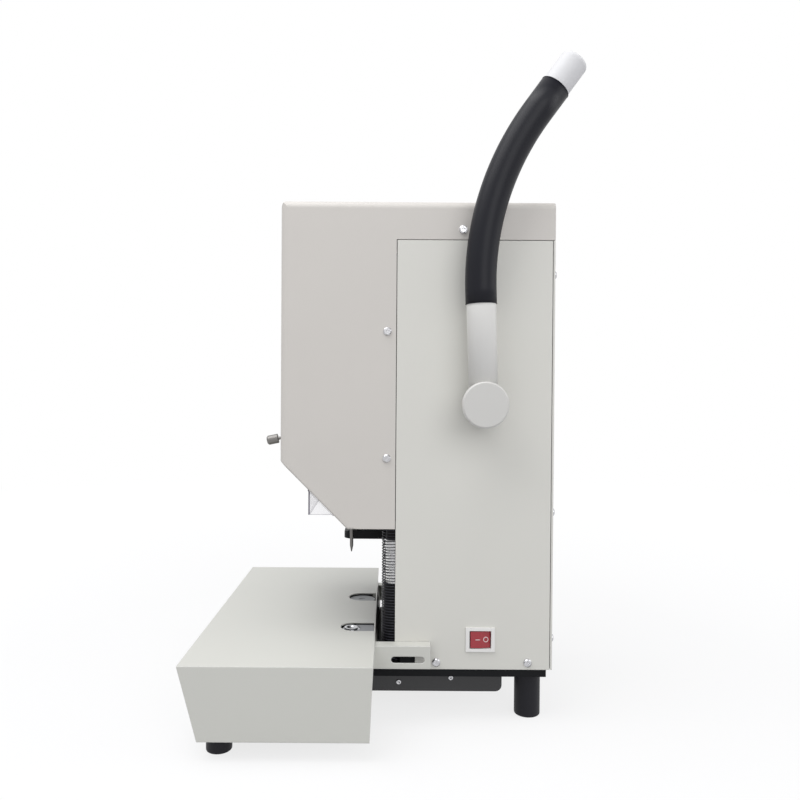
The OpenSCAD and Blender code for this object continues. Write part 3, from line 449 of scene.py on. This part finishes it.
# Press springs, which push the press plate down from the carriage
low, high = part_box("press_springs")
half_width = 6.6 * MM
y = (low.y + high.y) / 2
for number, x in enumerate((low.x + half_width, high.x - half_width)):
    shape = coil(x, y, 6 * MM, 0.6 * MM, low.z, high.z, 8)
    stands_for = ("press_springs",) if number == 0 else ()
    made = piece(f"press_spring_{number}", shape, "spring", "carriage", "spring_steel", *stands_for)
    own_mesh(made)

# Marks on the rocker: a bar on one half and a ring on the other
ROCKER_AXLE_X = 112 * MM
ROCKER_OUT = 3.4 * MM               # from the axle to the line where the two halves meet
ROCKER_REST = math.radians(7)       # tip of the rocker at rest
ROCKER_SLOPE = math.atan2(1.2, 10.8)

low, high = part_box("switch_housing")
rocker_axle = (shift(ROCKER_AXLE_X, (low.y + high.y) / 2, (low.z + high.z) / 2)
               @ Matrix.Rotation(ROCKER_REST, 4, "Z"))


def on_rocker(side, along):
    """Frame on one half of the rocker: its Z points out of the sloped face and its X runs up."""
    out = ROCKER_OUT - along * math.tan(ROCKER_SLOPE)
    return (rocker_axle @ shift(out, side * along, 0)
            @ Matrix.Rotation(side * ROCKER_SLOPE, 4, "Z") @ FACING_X)


shape = bmesh.new()
bmesh.ops.create_cube(
    shape, size=1, matrix=on_rocker(-1, 3.1 * MM) @ Matrix.Diagonal((0.8 * MM, 4.8 * MM, 0.5 * MM, 1)))
bmesh.ops.bevel(
    shape, geom=shape.edges[:], offset=0.12 * MM, segments=2, profile=0.5, affect="EDGES", material=-1)
piece("rocker_bar_mark", shape, "mark", "rocker", "white_plastic")
piece("rocker_ring_mark", hoop(on_rocker(1, 5.7 * MM), 2.5 * MM, 0.45 * MM, 8, 40),
      "mark", "rocker", "white_plastic")

# The lever's bent tube and its rubber sleeve, both hollow, with thin rolled lips at the sleeve's ends
TUBE_X = 142 * MM
LEAN = math.radians(1.9)            # of the first straight run, at rest
STRAIGHT = 117 * MM                 # from the pivot to the bend
BEND, BEND_R = math.radians(38), 291 * MM
TIP = 66 * MM                       # from the bend to the lever's end
CAP = 35.3 * MM                     # length of the end that the cap takes up
TUBE_R, TUBE_WALL = 15 * MM, 2 * MM
SLEEVE_R, SLEEVE_WALL = 16 * MM, 0.96 * MM
SLEEVE_START = 102.5 * MM
LIP_R, LIP_WIRE, LIP_INSET = 15.8 * MM, 0.42 * MM, 0.3 * MM

low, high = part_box("lever_shaft")
in_lever = shift(TUBE_X, (low.y + high.y) / 2, (low.z + high.z) / 2) @ Matrix.Rotation(LEAN, 4, "X")
past_bend = in_lever @ shift(0, BEND_R, STRAIGHT) @ Matrix.Rotation(-BEND, 4, "X") @ shift(0, -BEND_R, 0)


def bent_run(name, outer, wall, start, finish, slot, node):
    """Tube that follows the lever: straight, round the bend and straight again, with a wall inwards."""
    shape = bmesh.new()

    def pull(ring, way):
        made = bmesh.ops.extrude_edge_only(shape, edges=edges_among(shape, ring))["geom"]
        moved = {item for item in made if isinstance(item, bmesh.types.BMVert)}
        bmesh.ops.translate(shape, verts=list(moved), vec=way)
        return moved

    ring = set(circle(shape, outer, 72, in_lever @ shift(0, 0, start)))
    ring = pull(ring, in_lever.to_3x3() @ Vector((0, 0, STRAIGHT - start)))
    turned = bmesh.ops.spin(
        shape, geom=list(ring) + edges_among(shape, ring),
        cent=in_lever @ Vector((0, BEND_R, STRAIGHT)), axis=in_lever.to_3x3() @ Vector((1, 0, 0)),
        angle=-BEND, steps=36)["geom_last"]
    pull({item for item in turned if isinstance(item, bmesh.types.BMVert)},
         past_bend.to_3x3() @ Vector((0, 0, TIP - CAP)))
    bmesh.ops.remove_doubles(shape, verts=shape.verts[:], dist=1e-6)
    made = piece(name, shape, finish, "lever", slot, node)
    walls = made.modifiers.new("wall", "SOLIDIFY")
    walls.thickness, walls.offset = wall, -1


bent_run("bent_tube", TUBE_R, TUBE_WALL, 16 * MM, "tube", "cream_paint", "lever_tube")
bent_run("rubber_sleeve", SLEEVE_R, SLEEVE_WALL, SLEEVE_START, "grip", "grip_rubber", "lever_grip")
sleeve_ends = (in_lever @ shift(0, 0, SLEEVE_START + LIP_INSET),
               past_bend @ shift(0, 0, TIP - CAP - LIP_INSET))
for number, seat in enumerate(sleeve_ends):
    piece(f"sleeve_lip_{number}", hoop(seat, LIP_R, LIP_WIRE, 12, 64), "grip", "lever", "grip_rubber")

# Two screws in the pan's near wall: rings from the hollow in the head out to its seat on the wall
PAN_SCREWS = ((14 * MM, 35 * MM), (71 * MM, 40 * MM))
SCREW_PROFILE = ((1.0, 0.6), (1.2, 1.7), (2.3, 1.4), (2.9, 0.7), (3.0, -0.2))     # radius and rise, mm

_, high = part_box("bottom_pan")
for number, (y, z) in enumerate(PAN_SCREWS):
    shape = bmesh.new()
    rims = [circle(shape, radius * MM, 32, shift(high.x + rise * MM, y, z) @ FACING_X,
                   filled=(radius, rise) in (SCREW_PROFILE[0], SCREW_PROFILE[-1]))
            for radius, rise in SCREW_PROFILE]
    for inner, outer in zip(rims, rims[1:]):
        bmesh.ops.bridge_loops(shape, edges=edges_among(shape, inner) + edges_among(shape, outer))
    piece(f"pan_screw_{number}", shape, "bright", "stand", "bright_screw")


# ---------------------------------------------------------------- studio

FLOOR_HALF = 8
FLOOR_FADE = (0.5, 2.2)             # distances over which the floor fades to plain white


def studio_floor():
    """Matt floor that shows near white with a soft shadow and fades to plain white far off."""
    made = Finish("pale floor")
    made.set(Base_Color=(0.45, 0.45, 0.46, 1), Roughness=0.9)
    distance = made.node("VectorMath", {"operation": "LENGTH"}, {0: made.place}, out="Value")
    far = made.fade(distance, *FLOOR_FADE)
    glow = made.node("Emission", inputs={"Color": WHITE, "Strength": 1.3 - far * 0.3}, out="Emission")
    matt = Shade(made.tree, made.shader.outputs["BSDF"])
    mixed = made.node("MixShader", inputs={0: made.seen() * (far * 0.4 + 0.6), 1: matt, 2: glow}, out="Shader")
    made.feed(made.tree.nodes["Material Output"].inputs["Surface"], mixed)
    return made.material


shape = bmesh.new()
bmesh.ops.create_grid(shape, x_segments=1, y_segments=1, size=FLOOR_HALF)
mesh = bpy.data.meshes.new("floor")
shape.to_mesh(mesh)
shape.free()
floor = bpy.data.objects.new("floor", mesh)
floor.data.materials.append(studio_floor())
scene.collection.objects.link(floor)

# The world lights the object at one level and shows plain white behind it
world = bpy.data.worlds.new("studio")
scene.world = world
world.use_nodes = True
sky = Graph(world.node_tree)
ambient = sky.tree.nodes["Background"]
sky.feed(ambient.inputs["Color"], (0.97, 0.98, 1, 1))
sky.feed(ambient.inputs["Strength"], 0.55)
backdrop = sky.node("Background", inputs={"Color": WHITE, "Strength": 1.0})
mixed = sky.node("MixShader", inputs={0: sky.seen(), 1: Shade(sky.tree, ambient.outputs[0]), 2: backdrop})
sky.feed(sky.tree.nodes["World Output"].inputs["Surface"], mixed)

LAMPS = (                           # name, place, size and power of each square panel
    ("ceiling panel", (0.5, -0.7, 2.1), 1.8, 30),
    ("side panel", (2.2, 0.8, 1.4), 1.7, 18),
    ("back panel", (0.3, 2.2, 1.4), 1.4, 8),
)
LIT_POINT = Vector((0, 0, 0.3))
for name, place, size, power in LAMPS:
    data = bpy.data.lights.new(name, "AREA")
    data.shape, data.size, data.energy = "SQUARE", size, power
    lamp = bpy.data.objects.new(name, data)
    lamp.location = place
    lamp.rotation_euler = (LIT_POINT - Vector(place)).to_track_quat("-Z", "Y").to_euler()
    scene.collection.objects.link(lamp)

# The camera stands square on to the right side, on +X, with a slight pitch and roll
CAMERA_PLACE = (0.902, 0.001, 0.353)
CAMERA_PITCH, CAMERA_ROLL = math.radians(-0.7), math.radians(0.38)
camera = bpy.data.objects.new("camera", bpy.data.cameras.new("camera"))
camera.data.lens, camera.data.sensor_width = 33.5, 36
camera.data.shift_x, camera.data.shift_y = 0.0142, 0.0006
looking_back = Matrix(((0, 0, 1), (1, 0, 0), (0, 1, 0))).to_4x4()
camera.matrix_world = (shift(*CAMERA_PLACE) @ looking_back
                       @ Matrix.Rotation(CAMERA_PITCH, 4, "X") @ Matrix.Rotation(CAMERA_ROLL, 4, "Z"))
scene.collection.objects.link(camera)
scene.camera = camera
scene.view_settings.view_transform = "Standard"
